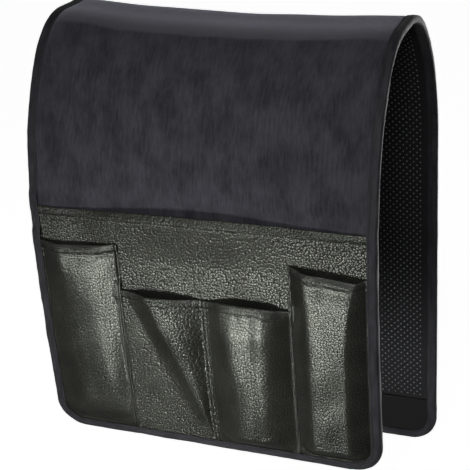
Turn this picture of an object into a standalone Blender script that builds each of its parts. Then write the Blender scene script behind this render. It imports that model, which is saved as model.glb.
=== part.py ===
"""Sofa armrest organizer: a padded mat that hangs over a sofa's arm, with leather pockets on its front flap.

Metres, +Z up. X runs along the arm. The short front flap hangs on the -Y side and the long rear flap
on the +Y side. The origin is the middle of the flat strip of lining that rests on top of the arm.

Every piece is drawn flat first, as its sewing pattern is, and then laid over the arm. In the flat,
s is the distance along the mat from the crown, negative towards the front hem, x is the place across
the mat, and n is the height above the arm's surface.
"""

import math

import bmesh
import bpy
import numpy as np

# The sofa arm that the mat is shaped over
ARM_HALF_SPAN = 0.1017
CROWN_FLAT = 0.024
FRONT_ARCH_HEIGHT = 0.168
REAR_ARCH_HEIGHT = 0.140
FRONT_ARCH_POWER = 2.36
REAR_ARCH_POWER = 1.85
FLAP_BOW = 0.0089

# The mat, measured flat
MAT_LENGTH = 0.991
MAT_WIDTH = 0.330
FRONT_LENGTH = 0.4497
CORNER_RADIUS = 0.028

# Thicknesses of the layers, and the clearance between two that touch
GAP = 0.0003
LINING_THICKNESS = 0.0008
INTERLINING_THICKNESS = 0.0020
COVER_THICKNESS = 0.0015
LEATHER_THICKNESS = 0.0009

# The folded tape round the outline
TAPE_THICKNESS = 0.0008
BINDING_WIDTH = 0.0090
NOSE_RADIUS = 0.0012
EDGE_PRESS = 0.0001

# The plain band inside the rear hem, which laps over the end of the lining
BAND_HEIGHT = 0.050
BAND_LAP = 0.008
BAND_THICKNESS = 0.0006
LAP_RAMP = 0.004

# Pocket heights, from the front hem to each mouth, and the folded hem along a mouth
WIDE_POCKET_HEIGHT = 0.246
SIDE_POCKET_HEIGHT = 0.210
CENTRE_POCKET_HEIGHT = 0.166
HEM_HEIGHT = 0.008
HEM_RAMP = 0.006
FOLD_GAP = 0.0003

# Seams between the pockets, as places across the mat, and the flat strips that the stitches hold
LEFT_SEAM = -0.0780
DIVIDER_SEAM = 0.0040
RIGHT_SEAM = 0.0855
SEAM_MARGIN = 0.0015
FLANGE_WIDTH = 0.0060
TUCK_WIDTH = 0.0040
DIVIDER_WIDTH = 0.0060

# How far each pocket stands open, and how far that draws its mouth up
WIDE_GAPE = 0.0075
WIDE_RISE = 0.0050
SIDE_DEPTH = 0.0150
SIDE_MOUTH_DEPTH = 0.0110
SIDE_RISE = 0.0040
LEFT_INNER_RAMP = 0.022
LEFT_OUTER_RAMP = 0.036
RIGHT_INNER_RAMP = 0.020
RIGHT_OUTER_RAMP = 0.030
SIDE_BOTTOM_RAMP = 0.075
CENTRE_DEPTH = 0.0130
CENTRE_RISE = 0.0030
CENTRE_RAMP = 0.018
CENTRE_BOTTOM_RAMP = 0.040
RISE_REACH = 0.060

# The slack fold in the left half of the centre pocket, which runs from the mouth down to the divider
FOLD_DEPTH = 0.0120
FOLD_MOUTH_DISTANCE = 0.0570
FOLD_FOOT_DISTANCE = 0.0040
FOLD_FLAT_LIFT = 0.0040
FOLD_RIDGE_SHARE = 0.24
FOLD_COLUMN_SHARES = (0, 0.06, 0.14, 0.24, 0.40, 0.60, 0.80, 1)

# How finely the forms are divided
ROW_GAP = 0.0010
FINE_STEPS = 400
ARCH_STEPS = 12
FLAP_STEPS = 6
REAR_FLAP_STEPS = 3
CORNER_STEPS = 5
PANEL_COLUMNS = 10
SIDE_COLUMNS = 10
SLACK_COLUMNS = 2
CENTRE_COLUMNS = 8
SHARP_ANGLE = 50

# Values that follow from the sizes above
FRONT_END = -FRONT_LENGTH
REAR_END = MAT_LENGTH - FRONT_LENGTH
EDGE_INSET = TAPE_THICKNESS + NOSE_RADIUS + GAP
INTERLINING_UNDER = LINING_THICKNESS + GAP
COVER_UNDER = INTERLINING_UNDER + INTERLINING_THICKNESS + GAP
MAT_TOP = COVER_UNDER + COVER_THICKNESS
SEWN_WIDTH = BINDING_WIDTH + SEAM_MARGIN
FREE_HALF_WIDTH = MAT_WIDTH / 2 - SEWN_WIDTH
HIDDEN_EDGE = SEWN_WIDTH - EDGE_INSET
DIVIDER_LEFT = DIVIDER_SEAM - DIVIDER_WIDTH / 2
DIVIDER_RIGHT = DIVIDER_SEAM + DIVIDER_WIDTH / 2
WIDE_MOUTH = FRONT_END + WIDE_POCKET_HEIGHT
SIDE_MOUTH = FRONT_END + SIDE_POCKET_HEIGHT
CENTRE_MOUTH = FRONT_END + CENTRE_POCKET_HEIGHT
HEM_ROLL = (LEATHER_THICKNESS + FOLD_GAP) / 2
HEM_ROOM = 2 * HEM_ROLL
BAND_TOP = REAR_END - BAND_HEIGHT
LINING_END = BAND_TOP + BAND_LAP


def ramp(value, width):
    """0 up to value 0, 1 from value = width on, and a straight line between."""
    return np.clip(value / width, 0, 1)


def swell(value, width):
    """Like ramp, but rounded off at its top, as cloth pushed out from behind is."""
    return np.sin(ramp(value, width) * math.pi / 2)


def barrel(value, width):
    """Like ramp, but a quarter circle, which leaves its foot steeply."""
    return np.sqrt(1 - (1 - ramp(value, width)) ** 2)


def quarter_arch(span, height, power):
    """A quarter of a superellipse, from its foot at (-span, -height) up to its crown at (0, 0)."""
    angle = np.linspace(0, math.pi / 2, FINE_STEPS)
    across = -span * np.cos(angle) ** (2 / power)
    up = height * (np.sin(angle) ** (2 / power) - 1)
    return np.stack([across, up], axis=1)


def arm_line():
    """The arm's outline from the side, front foot to rear foot: rows of s, y, z and the outward normal."""
    front = quarter_arch(ARM_HALF_SPAN - CROWN_FLAT / 2, FRONT_ARCH_HEIGHT, FRONT_ARCH_POWER)
    front[:, 0] -= CROWN_FLAT / 2
    rear = quarter_arch(ARM_HALF_SPAN - CROWN_FLAT / 2, REAR_ARCH_HEIGHT, REAR_ARCH_POWER)[::-1]
    rear[:, 0] = CROWN_FLAT / 2 - rear[:, 0]
    down = np.linspace(MAT_LENGTH, 0, FINE_STEPS)[:-1]
    front_drop = np.stack([np.full(len(down), front[0, 0]), front[0, 1] - down], axis=1)
    rear_drop = np.stack([np.full(len(down), rear[-1, 0]), rear[-1, 1] - down[::-1]], axis=1)
    line = np.vstack([front_drop, front, rear, rear_drop])
    steps = np.hypot(*np.diff(line, axis=0).T)
    s = np.concatenate([[0], np.cumsum(steps)])
    s -= s[len(front_drop) + len(front) - 1] + CROWN_FLAT / 2
    bowed_length = FRONT_LENGTH - FRONT_ARCH_HEIGHT / 2
    line[:, 0] -= FLAP_BOW * np.sin(math.pi * ramp(s - FRONT_END, bowed_length))
    along = np.gradient(line, axis=0)
    along /= np.hypot(*along.T)[:, None]
    return s, line[:, 0], line[:, 1], -along[:, 1], along[:, 0]


ARM_LINE = arm_line()


def drape(s, x, n):
    """Lays flat places s, x at height n over the arm."""
    y, z, out_y, out_z = (np.interp(s, ARM_LINE[0], column) for column in ARM_LINE[1:])
    length = np.hypot(out_y, out_z)
    return np.stack([x, y + n * out_y / length, z + n * out_z / length], axis=-1)


def half_width(s, inset):
    """Half the mat's width at s, on a line that runs inside the rounded outline by inset."""
    radius = CORNER_RADIUS - inset
    end_distance = np.minimum(s - FRONT_END, REAR_END - s)
    past_centre = np.clip(CORNER_RADIUS - end_distance, 0, radius)
    return MAT_WIDTH / 2 - CORNER_RADIUS + np.sqrt(radius ** 2 - past_centre ** 2)


def edge_distance(s, x):
    """How far a place on the front flap lies inside the rounded outline."""
    past_x = np.abs(x) - (MAT_WIDTH / 2 - CORNER_RADIUS)
    past_s = FRONT_END + CORNER_RADIUS - s
    corner = np.hypot(np.maximum(past_x, 0), np.maximum(past_s, 0))
    return CORNER_RADIUS - np.where(np.minimum(past_x, past_s) > 0, corner, np.maximum(past_x, past_s))


def hem_zone(s, mouth):
    """1 where the hem of a pocket with this mouth lies, 0 a little below it."""
    return ramp(s - (mouth - HEM_HEIGHT - HEM_RAMP), HEM_RAMP)


def leather_height(s, mouth):
    """Room that a pocket's sewn edge takes up, with its doubled hem, in the layer that covers it."""
    below = ramp(mouth + 2 * HEM_RAMP - s, HEM_RAMP)
    return below * (LEATHER_THICKNESS + GAP + HEM_ROOM * hem_zone(s, mouth))


def corner_rows():
    """Distances from an end of the mat at which rows cross its rounded corners."""
    angle = np.linspace(0, math.pi / 2, CORNER_STEPS + 1)
    return CORNER_RADIUS - (CORNER_RADIUS - EDGE_INSET) * np.cos(angle)


def mouth_rows(mouth):
    """Rows where the height of the layers changes near a pocket's mouth."""
    hem_foot = mouth - HEM_HEIGHT
    return [hem_foot - HEM_RAMP, hem_foot, mouth, mouth + HEM_RAMP, mouth + 2 * HEM_RAMP]


def tuck_rows():
    """Rows where the centre pocket's tucked edges begin, above the binding of the front hem."""
    return FRONT_END + BINDING_WIDTH + np.array([0, HEM_RAMP, 2 * HEM_RAMP])


def mat_rows():
    """The rows that every layer shares, so that the facets of two layers lie parallel."""
    foot = FRONT_END + CORNER_RADIUS
    front_arch = -CROWN_FLAT / 2 - FRONT_ARCH_HEIGHT - ARM_HALF_SPAN / 2
    rear_arch = CROWN_FLAT / 2 + REAR_ARCH_HEIGHT + ARM_HALF_SPAN / 2
    groups = [
        FRONT_END + corner_rows(),
        tuck_rows(),
        np.linspace(foot, front_arch, FLAP_STEPS),
        mouth_rows(CENTRE_MOUTH),
        mouth_rows(SIDE_MOUTH),
        mouth_rows(WIDE_MOUTH),
        np.linspace(front_arch, -CROWN_FLAT / 2, ARCH_STEPS),
        np.linspace(CROWN_FLAT / 2, rear_arch, ARCH_STEPS),
        np.linspace(rear_arch, BAND_TOP - 2 * LAP_RAMP, REAR_FLAP_STEPS),
        [BAND_TOP - LAP_RAMP, BAND_TOP, LINING_END, LINING_END + LAP_RAMP, LINING_END + 2 * LAP_RAMP],
        REAR_END - corner_rows(),
    ]
    rows = []
    for row in np.sort(np.concatenate(groups)):
        if not rows or row - rows[-1] > ROW_GAP:
            rows.append(row)
    return np.array(rows)


def rows_between(low, high):
    """The shared rows from low to high, with a row at each end."""
    rows = mat_rows()
    inside = rows[(rows > low + ROW_GAP) & (rows < high - ROW_GAP)]
    return np.concatenate([[low], inside, [high]])


def spread(left, right, count):
    """Columns at equal distances between two edges, each given for every row."""
    return left[:, None] + (right - left)[:, None] * np.linspace(0, 1, count + 1)


def side_by_side(*blocks):
    """Blocks of columns joined where the last column of one is the first of the next."""
    return np.concatenate([block[:, :-1] for block in blocks[:-1]] + [blocks[-1]], axis=1)


def finish_material(name, colour, roughness, metallic=0.0):
    """A material with the colour and the gloss of the real cloth or leather."""
    material = bpy.data.materials.new(name)
    material.use_nodes = True
    shader = material.node_tree.nodes["Principled BSDF"]
    shader.inputs["Base Color"].default_value = (*colour, 1)
    shader.inputs["Roughness"].default_value = roughness
    shader.inputs["Metallic"].default_value = metallic
    material.diffuse_color = (*colour, 1)
    return material


def place_grid(points):
    """A bmesh grid whose vertices are moved to an array of points, in rows and columns."""
    rows, columns = points.shape[:2]
    grid = bmesh.new()
    bmesh.ops.create_grid(grid, x_segments=columns - 1, y_segments=rows - 1, size=0.5)
    for vertex in grid.verts:
        column = round((vertex.co.x + 0.5) * (columns - 1))
        row = round((vertex.co.y + 0.5) * (rows - 1))
        vertex.co = points[row, column]
    return grid


def sewn_sheet(name, points, thickness, material, joined_ends=False):
    """A sheet of cloth, tape or leather: its middle surface, given its thickness by Solidify."""
    grid = place_grid(points)
    if joined_ends:
        bmesh.ops.remove_doubles(grid, verts=grid.verts[:], dist=GAP / 10)
    mesh = bpy.data.meshes.new(name)
    grid.to_mesh(mesh)
    grid.free()
    mesh.materials.append(material)
    mesh.shade_smooth()
    mesh.set_sharp_from_angle(angle=math.radians(SHARP_ANGLE))
    sheet = bpy.data.objects.new(name, mesh)
    parts.objects.link(sheet)
    wall = sheet.modifiers.new("Thickness", "SOLIDIFY")
    wall.thickness = thickness
    wall.offset = 0
    wall.use_even_offset = True
    return sheet


def surface_normals(points):
    """The unit normal at each point of a grid, on the side away from the arm."""
    along = np.gradient(points, axis=0)
    across = np.gradient(points, axis=1)
    normal = np.cross(across, along)
    return normal / np.linalg.norm(normal, axis=-1, keepdims=True)


def fold_hem(points, rows):
    """Adds a hem to a grid: past its last row the leather turns over and runs down behind itself."""
    normal = surface_normals(points)
    up = points[-1] - points[-2]
    up /= np.linalg.norm(up, axis=-1, keepdims=True)
    turn = []
    for angle in (math.pi / 3, 2 * math.pi / 3, math.pi):
        out = HEM_ROLL * (1 - math.cos(angle))
        turn.append(points[-1] + up * HEM_ROLL * math.sin(angle) - normal[-1] * out)
    foot = int(np.argmin(np.abs(rows - (rows[-1] - HEM_HEIGHT))))
    behind = points[foot] - normal[foot] * 2 * HEM_ROLL
    return np.concatenate([points, turn, [behind]])


def mat_layer(name, low, high, under, thickness, material):
    """One layer of the mat, between two places along it."""
    rows = rows_between(low, high)
    edge = half_width(rows, EDGE_INSET)
    x = spread(-edge, edge, 1)
    points = drape(rows[:, None] + 0 * x, x, under + thickness / 2)
    return sewn_sheet(name, points, thickness, material)


def dotted_lining():
    """The layer that lies on the arm. The binding presses its edges in a little."""
    rows = rows_between(FRONT_END + EDGE_INSET, LINING_END)
    edge = half_width(rows, EDGE_INSET)
    sewn = edge - HIDDEN_EDGE
    x = side_by_side(spread(-edge, -sewn, 1), spread(-sewn, sewn, 1), spread(sewn, edge, 1))
    press = EDGE_PRESS * ramp(np.abs(x) - sewn[:, None], HIDDEN_EDGE)
    points = drape(rows[:, None] + 0 * x, x, LINING_THICKNESS / 2 + press)
    return sewn_sheet("dotted_lining", points, LINING_THICKNESS, dotted_black)


def band_seat(s):
    """Height of the rear band: on the lining where it laps over it, then against the mat's inside."""
    lap = BAND_THICKNESS + GAP
    return lap * (ramp(s - LINING_END, LAP_RAMP) - 1)


def rear_band():
    """The plain band inside the rear hem."""
    rows = rows_between(BAND_TOP, REAR_END - EDGE_INSET)
    edge = half_width(rows, EDGE_INSET)
    x = spread(-edge, edge, 1)
    n = band_seat(rows)[:, None] + BAND_THICKNESS / 2
    points = drape(rows[:, None] + 0 * x, x, n + 0 * x)
    return sewn_sheet("rear_hem_band", points, BAND_THICKNESS, tape_black)


def outline_stations():
    """Places round the mat's outline, once round: s, x and the direction inwards at each."""
    rows = mat_rows()
    side = rows[(rows > FRONT_END + CORNER_RADIUS + GAP) & (rows < REAR_END - CORNER_RADIUS - GAP)]
    angles = np.linspace(0, math.pi / 2, CORNER_STEPS + 1)
    centre_x = MAT_WIDTH / 2 - CORNER_RADIUS
    stations = [(FRONT_END, 0, 1, 0)]
    for angle in angles:
        stations.append(corner_station(FRONT_END + CORNER_RADIUS, centre_x, math.pi - angle))
    stations += [(s, MAT_WIDTH / 2, 0, -1) for s in side]
    for angle in angles:
        stations.append(corner_station(REAR_END - CORNER_RADIUS, centre_x, math.pi / 2 - angle))
    stations.append((REAR_END, 0, -1, 0))
    for angle in angles:
        stations.append(corner_station(REAR_END - CORNER_RADIUS, -centre_x, -angle))
    stations += [(s, -MAT_WIDTH / 2, 0, 1) for s in side[::-1]]
    for angle in angles:
        stations.append(corner_station(FRONT_END + CORNER_RADIUS, -centre_x, -math.pi / 2 - angle))
    stations.append(stations[0])
    return np.array(stations)


def corner_station(centre_s, centre_x, angle):
    """A place on a rounded corner of the outline, with the direction inwards."""
    out_s = math.cos(angle)
    out_x = math.sin(angle)
    return (centre_s + CORNER_RADIUS * out_s, centre_x + CORNER_RADIUS * out_x, -out_s, -out_x)


def edge_binding():
    """One tape folded over the edges of all the layers, all the way round."""
    s, x, in_s, in_x = outline_stations().T[:, :, None]
    leather = leather_height(s, WIDE_MOUTH) + leather_height(s, SIDE_MOUTH)
    before_lap = ramp(s - (BAND_TOP - 2 * LAP_RAMP), LAP_RAMP)
    lap = before_lap * band_seat(s)
    top = MAT_TOP + GAP + TAPE_THICKNESS / 2 + leather
    bottom = lap - GAP - TAPE_THICKNESS / 2
    middle = TAPE_THICKNESS / 2
    inward = np.array([BINDING_WIDTH, middle + NOSE_RADIUS, middle, middle + NOSE_RADIUS, BINDING_WIDTH])
    n = np.concatenate([top, top, (top + bottom) / 2, bottom, bottom], axis=1)
    points = drape(s + in_s * inward, x + in_x * inward, n)
    return sewn_sheet("edge_binding", points, TAPE_THICKNESS, tape_black, joined_ends=True)


def up_share(s, pocket_height):
    """How far up a pocket a place lies: 0 where its foot is sewn, 1 at its mouth."""
    return ramp(s - FRONT_END - SEWN_WIDTH, pocket_height - SEWN_WIDTH)


def panel_crown(x):
    """1 at the middle of the wide panel, 0 at its sewn sides."""
    return (1 + np.cos(math.pi * ramp(np.abs(x), FREE_HALF_WIDTH))) / 2


def panel_n(s, x):
    """Height of the wide panel's middle surface: it stands away from the mat towards its mouth."""
    gape = WIDE_GAPE * panel_crown(x) * swell(up_share(s, WIDE_POCKET_HEIGHT), 1)
    return MAT_TOP + GAP + LEATHER_THICKNESS / 2 + HEM_ROOM * hem_zone(s, WIDE_MOUTH) + gape


def side_crown(s, x, seam):
    """1 along the ridge of a side pocket, 0 at its seam and along the binding."""
    side = math.copysign(1, seam)
    inner_ramp, outer_ramp = (
        (LEFT_INNER_RAMP, LEFT_OUTER_RAMP) if side < 0 else (RIGHT_INNER_RAMP, RIGHT_OUTER_RAMP)
    )
    from_seam = side * (x - seam) - FLANGE_WIDTH
    from_binding = edge_distance(s, x) - SEWN_WIDTH
    return swell(from_seam, inner_ramp) * swell(from_binding, outer_ramp)


def side_pocket_n(s, x, seam):
    """Height of a side pocket's middle surface, pushed out between its seams."""
    up = up_share(s, SIDE_POCKET_HEIGHT)
    depth = SIDE_DEPTH + (SIDE_MOUTH_DEPTH - SIDE_DEPTH) * up
    bulge = depth * side_crown(s, x, seam) * swell(s - FRONT_END - SEWN_WIDTH, SIDE_BOTTOM_RAMP)
    above_foot = ramp(s - FRONT_END - BINDING_WIDTH, HEM_RAMP)
    from_flange = np.abs(x - seam) - FLANGE_WIDTH
    tucked = leather_height(s, CENTRE_MOUTH) * above_foot * (1 - ramp(from_flange, LEFT_INNER_RAMP))
    seat = LEATHER_THICKNESS + GAP + HEM_ROOM * hem_zone(s, SIDE_MOUTH)
    return panel_n(s, x) + seat + np.maximum(bulge, tucked)


def fold_reach(s):
    """Distance from the divider to the crease of the slack fold, which narrows towards the foot."""
    up = up_share(s, CENTRE_POCKET_HEIGHT)
    return FOLD_FOOT_DISTANCE + (FOLD_MOUTH_DISTANCE - FOLD_FOOT_DISTANCE) * up


def centre_crown(x):
    """1 along the middle of the centre pocket's right half, 0 at the divider and at the right seam."""
    return swell(x - DIVIDER_RIGHT, CENTRE_RAMP) * swell(RIGHT_SEAM - SEAM_MARGIN - x, CENTRE_RAMP)


def centre_pocket_n(s, x):
    """Height of the centre pocket's middle surface: a slack fold left of the divider, a bulge right of it."""
    up = up_share(s, CENTRE_POCKET_HEIGHT)
    across_fold = (x - DIVIDER_LEFT) / fold_reach(s) + 1
    fold = barrel(across_fold, FOLD_RIDGE_SHARE) * swell(1 - across_fold, 1 - FOLD_RIDGE_SHARE)
    flat_width = DIVIDER_LEFT - LEFT_SEAM - SEAM_MARGIN - FOLD_MOUTH_DISTANCE
    slack = FOLD_FLAT_LIFT * swell(x - LEFT_SEAM - SEAM_MARGIN, flat_width) * swell(1 - across_fold, 1)
    right = CENTRE_DEPTH * centre_crown(x) * swell(s - FRONT_END - SEWN_WIDTH, CENTRE_BOTTOM_RAMP)
    bulge = np.where(x < DIVIDER_SEAM, swell(up, 1) * slack + FOLD_DEPTH * up * fold, right)
    return panel_n(s, x) + LEATHER_THICKNESS + GAP + HEM_ROOM * hem_zone(s, CENTRE_MOUTH) + bulge


def leather_piece(name, rows, x, height, rise):
    """A piece of leather whose mouth is drawn up by rise and ends in a folded hem."""
    s = rows[:, None] + 0 * x
    place = s + rise * ramp(s - rows[-1] + RISE_REACH, RISE_REACH)
    points = drape(place, x, height(s, x))
    return sewn_sheet(name, fold_hem(points, rows), LEATHER_THICKNESS, leather)


def wide_pocket_panel():
    """The leather panel behind the other pockets: as wide as the mat, open along its top."""
    rows = rows_between(FRONT_END + EDGE_INSET, WIDE_MOUTH)
    edge = half_width(rows, EDGE_INSET)
    sewn = edge - HIDDEN_EDGE
    x = side_by_side(spread(-edge, -sewn, 1), spread(-sewn, sewn, PANEL_COLUMNS), spread(sewn, edge, 1))
    return leather_piece("wide_pocket_panel", rows, x, panel_n, WIDE_RISE * panel_crown(x))


def side_pocket(name, seam):
    """A tall pocket between an edge of the mat and a seam."""
    rows = rows_between(FRONT_END + EDGE_INSET, SIDE_MOUTH)
    side = math.copysign(1, seam)
    edge = side * half_width(rows, EDGE_INSET)
    sewn = edge - side * HIDDEN_EDGE
    seam_edge = np.full(len(rows), seam)
    flange = seam_edge + side * FLANGE_WIDTH
    x = side_by_side(spread(seam_edge, flange, 1), spread(flange, sewn, SIDE_COLUMNS), spread(sewn, edge, 1))
    if side < 0:
        x = x[:, ::-1]

    def height(s, place):
        return side_pocket_n(s, place, seam)

    return leather_piece(name, rows, x, height, SIDE_RISE * side_crown(SIDE_MOUTH, x, seam))


def centre_pocket():
    """The low strip between the side pockets, tucked under their seams and sewn down along its divider."""
    rows = rows_between(FRONT_END + EDGE_INSET, CENTRE_MOUTH)
    tuck = (TUCK_WIDTH + GAP) * ramp(rows - FRONT_END - BINDING_WIDTH - HEM_RAMP, HEM_RAMP) - GAP
    whole = np.ones(len(rows))
    left = LEFT_SEAM + SEAM_MARGIN
    right = RIGHT_SEAM - SEAM_MARGIN
    reach = fold_reach(rows)
    x = side_by_side(
        spread(LEFT_SEAM - tuck, left * whole, 1),
        spread(left * whole, DIVIDER_LEFT - reach, SLACK_COLUMNS),
        DIVIDER_LEFT - reach[:, None] * (1 - np.array(FOLD_COLUMN_SHARES)),
        spread(DIVIDER_LEFT * whole, DIVIDER_RIGHT * whole, 1),
        spread(DIVIDER_RIGHT * whole, right * whole, CENTRE_COLUMNS),
        spread(right * whole, RIGHT_SEAM + tuck, 1),
    )
    return leather_piece("centre_pocket", rows, x, centre_pocket_n, CENTRE_RISE * centre_crown(x))


for old in list(bpy.data.objects):
    bpy.data.objects.remove(old)

parts = bpy.data.collections.new("sofa_armrest_organizer")
bpy.context.scene.collection.children.link(parts)

plush_black = finish_material("plush_black", (0.020, 0.020, 0.024), 0.95)
padding_white = finish_material("padding_white", (0.75, 0.75, 0.72), 0.95)
dotted_black = finish_material("dotted_black", (0.010, 0.010, 0.011), 0.85)
tape_black = finish_material("tape_black", (0.015, 0.015, 0.018), 0.80)
leather = finish_material("leather", (0.045, 0.046, 0.040), 0.45)

dotted_lining()
mat_layer(
    "interlining", FRONT_END + EDGE_INSET, REAR_END - EDGE_INSET,
    INTERLINING_UNDER, INTERLINING_THICKNESS, padding_white,
)
mat_layer(
    "outer_cover", FRONT_END + EDGE_INSET, REAR_END - EDGE_INSET,
    COVER_UNDER, COVER_THICKNESS, plush_black,
)
rear_band()
edge_binding()
wide_pocket_panel()
side_pocket("left_side_pocket", LEFT_SEAM)
side_pocket("right_side_pocket", RIGHT_SEAM)
centre_pocket()
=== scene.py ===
"""Sofa armrest organizer: a padded mat for a sofa's arm, with leather pockets on its front flap.

Each cloth or leather piece is drawn flat, as its sewing pattern is, and then laid over the arm. In the
flat, s is the distance along the mat from the crown, negative towards the front hem, x is the place
across the mat, and n is the height above the arm. All sizes are in metres.
"""

import math

import bpy
import numpy as np
from mathutils import Matrix, Vector


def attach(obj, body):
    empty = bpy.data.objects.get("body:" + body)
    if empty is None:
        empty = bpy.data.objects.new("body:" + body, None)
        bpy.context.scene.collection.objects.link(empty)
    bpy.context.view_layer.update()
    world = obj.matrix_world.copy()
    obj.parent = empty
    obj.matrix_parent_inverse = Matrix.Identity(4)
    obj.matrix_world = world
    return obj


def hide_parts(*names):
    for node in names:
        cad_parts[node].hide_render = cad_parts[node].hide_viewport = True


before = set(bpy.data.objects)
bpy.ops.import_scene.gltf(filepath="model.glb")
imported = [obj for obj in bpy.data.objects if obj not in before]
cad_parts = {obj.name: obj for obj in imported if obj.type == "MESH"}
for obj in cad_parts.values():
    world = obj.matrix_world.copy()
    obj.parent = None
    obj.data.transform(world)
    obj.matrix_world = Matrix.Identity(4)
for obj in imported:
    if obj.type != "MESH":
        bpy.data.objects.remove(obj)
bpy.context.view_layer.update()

# ----------------------------------------
# The camera. It stands in front of the mat, a little to the right and above, and is tipped slightly,
# as the photograph's outline, seams and hems show when a camera is fitted to them.
CAMERA_PLACE = Vector((0.45406, -1.13168, 0.37012))
CAMERA_YAW = 0.38958
CAMERA_PITCH = 0.44844
CAMERA_ROLL = -0.06358
SENSOR_WIDTH = 36
PICTURE_WIDTH = 470
FOCAL_PIXELS = 1399.06

forward = Vector((
    -math.sin(CAMERA_YAW) * math.cos(CAMERA_PITCH),
    math.cos(CAMERA_YAW) * math.cos(CAMERA_PITCH),
    -math.sin(CAMERA_PITCH),
))
level_right = forward.cross(Vector((0, 0, 1))).normalized()
level_up = level_right.cross(forward)
camera_right = math.cos(CAMERA_ROLL) * level_right + math.sin(CAMERA_ROLL) * level_up
camera_up = math.cos(CAMERA_ROLL) * level_up - math.sin(CAMERA_ROLL) * level_right
lens = bpy.data.cameras.new("camera")
lens.sensor_width = SENSOR_WIDTH
lens.lens = FOCAL_PIXELS * SENSOR_WIDTH / PICTURE_WIDTH
camera = bpy.data.objects.new("camera", lens)
bpy.context.scene.collection.objects.link(camera)
camera.matrix_world = Matrix.Translation(CAMERA_PLACE) @ Matrix(
    (camera_right, camera_up, -forward)
).transposed().to_4x4()
bpy.context.scene.camera = camera
bpy.context.scene.view_settings.view_transform = "Standard"

# ----------------------------------------
# The dotted lining. It is the cloth that lies on the arm, from the front hem to the band inside the
# rear hem: a thin black knit, cut flat and laid over the arm's rounded outline.
ARM_HALF_SPAN = 0.1017
CROWN_FLAT = 0.024
FRONT_ARCH_HEIGHT = 0.168
REAR_ARCH_HEIGHT = 0.140
FRONT_ARCH_POWER = 2.36
REAR_ARCH_POWER = 1.85
FLAP_BOW = 0.0089
CROWN_SAG = 0.0070
SAG_REACH = 0.085
SHOULDER_LIFT = 0.0036
SHOULDER_PLACE = -0.045
SHOULDER_REACH = 0.035
HEM_SHIFT = 0.0026
MAT_LENGTH = 0.991
MAT_WIDTH = 0.330
FRONT_LENGTH = 0.4497
CORNER_RADIUS = 0.028
GAP = 0.0003
EDGE_INSET = 0.0023
LINING_THICKNESS = 0.0008
BAND_HEIGHT = 0.050
BAND_LAP = 0.008
FRONT_END = -FRONT_LENGTH
REAR_END = MAT_LENGTH - FRONT_LENGTH
BAND_TOP = REAR_END - BAND_HEIGHT
LINING_END = BAND_TOP + BAND_LAP
FRONT_RIM = FRONT_END + EDGE_INSET
REAR_RIM = REAR_END - EDGE_INSET
FINE_STEPS = 600
KNIT_BLACK = (0.0030, 0.0031, 0.0035, 1)
KNIT_GREY = (0.0066, 0.0068, 0.0075, 1)


def quarter_arch(span, height, power):
    """A quarter of a superellipse, from its foot at (-span, -height) up to its crown at (0, 0)."""
    angle = np.linspace(0, math.pi / 2, FINE_STEPS)
    across = -span * np.cos(angle) ** (2 / power)
    up = height * (np.sin(angle) ** (2 / power) - 1)
    return np.stack([across, up], axis=1)


def ramp(value, width):
    """0 up to value 0, 1 from value = width on, and a straight line between."""
    return np.clip(value / width, 0, 1)


def ease(value, width):
    """Like ramp, but soft at both ends."""
    share = ramp(value, width)
    return share * share * (3 - 2 * share)


def line_at(distance, width):
    """1 on a line and softly down to 0 on both sides of it."""
    return np.exp(-(distance / width) ** 2)


def arm_line():
    """The arm's outline from the side, front foot to rear foot: rows of s, y, z and the outward normal."""
    front = quarter_arch(ARM_HALF_SPAN - CROWN_FLAT / 2, FRONT_ARCH_HEIGHT, FRONT_ARCH_POWER)
    front[:, 0] -= CROWN_FLAT / 2
    rear = quarter_arch(ARM_HALF_SPAN - CROWN_FLAT / 2, REAR_ARCH_HEIGHT, REAR_ARCH_POWER)[::-1]
    rear[:, 0] = CROWN_FLAT / 2 - rear[:, 0]
    down = np.linspace(MAT_LENGTH, 0, FINE_STEPS)[:-1]
    front_drop = np.stack([np.full(len(down), front[0, 0]), front[0, 1] - down], axis=1)
    rear_drop = np.stack([np.full(len(down), rear[-1, 0]), rear[-1, 1] - down[::-1]], axis=1)
    line = np.vstack([front_drop, front, rear, rear_drop])
    steps = np.hypot(*np.diff(line, axis=0).T)
    s = np.concatenate([[0], np.cumsum(steps)])
    s -= s[len(front_drop) + len(front) - 1] + CROWN_FLAT / 2
    bowed_length = FRONT_LENGTH - FRONT_ARCH_HEIGHT / 2
    line[:, 0] -= FLAP_BOW * np.sin(math.pi * ramp(s - FRONT_END, bowed_length))
    along = np.gradient(line, axis=0)
    along /= np.hypot(*along.T)[:, None]
    return s, line[:, 0], line[:, 1], -along[:, 1], along[:, 0]


ARM_LINE = arm_line()


def drape(s, x, n):
    """Lays flat places s, x at height n over the arm.

    The mat sags a little along the middle of its crown, and stands off at its left shoulder. Its
    front hem hangs a little higher for that, and its rear hem a little lower.
    """
    s, x = np.broadcast_arrays(s, x)
    y, z, out_y, out_z = (np.interp(s, ARM_LINE[0], column) for column in ARM_LINE[1:])
    length = np.hypot(out_y, out_z)
    n = n + SHOULDER_LIFT * line_at(s - SHOULDER_PLACE, SHOULDER_REACH) * ease(-x - 0.09, 0.07)
    sag = CROWN_SAG * line_at(s, SAG_REACH) * np.cos(math.pi * x / MAT_WIDTH)
    sag = sag + HEM_SHIFT * (ramp(s - 0.40, 0.14) - ramp(-s - 0.36, 0.09))
    return np.stack([x, y + n * out_y / length, z + n * out_z / length - sag], axis=-1)


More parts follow.
